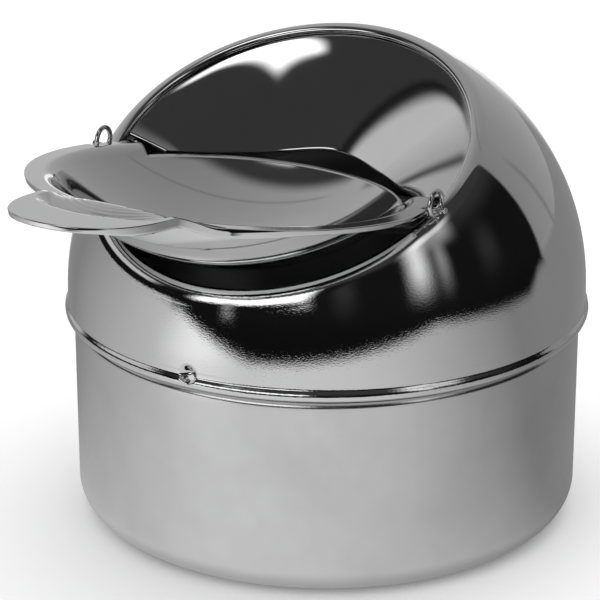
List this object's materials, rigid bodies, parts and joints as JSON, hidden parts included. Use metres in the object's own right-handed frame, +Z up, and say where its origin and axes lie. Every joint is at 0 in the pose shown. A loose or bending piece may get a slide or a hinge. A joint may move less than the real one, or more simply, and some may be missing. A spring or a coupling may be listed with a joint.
{
  "type": "table ball ashtray",
  "caption": "Ball-shaped table ashtray: drawn cup, lift-off round top with a slanted mouth, fixed rear baffle, and an ash dish with a thumb tongue that tilts to drop ash inside.",
  "frame": {"origin": "centre of the cup's flat underside", "axes": "+Z up; -Y is the front, where the mouth and the dish's tongue face; +X to the right of someone standing in front of the object and looking at it, along the dish's tilt axis"},
  "size_m": [0.114, 0.1643, 0.1034],
  "materials": {
    "base_cup": "soft satin chrome plate, faint drawing marks",
    "dome_shell": "mirror-polished chrome plate",
    "rear_baffle": "mirror-polished chrome plate, raw bright cut edge",
    "ash_dish": "polished chrome plate, raw bright cut edge at the back",
    "hinge_wire": "bright round steel wire",
    "hinge_pin": "plain bright steel pin"
  },
  "bodies": {
    "cup": {"base_cup": "base_cup"},
    "top": {"dome_shell": "dome_shell", "rear_baffle": "rear_baffle", "hinge_eye_left": "hinge_wire", "hinge_eye_right": "hinge_wire"},
    "dish": {"ash_dish": "ash_dish", "hinge_pin_left": "hinge_pin", "hinge_pin_right": "hinge_pin"}
  },
  "joints": [
    {"name": "dome_lift", "type": "slide", "parent": "cup", "child": "top", "axis": [0, 0, 1], "range_m": [0, 0.06]},
    {"name": "dish_tilt", "type": "hinge", "parent": "top", "child": "dish", "pos_m": [0, -0.0255, 0.0824], "axis": [-1, 0, 0], "range_deg": [0, 70]}
  ]
}
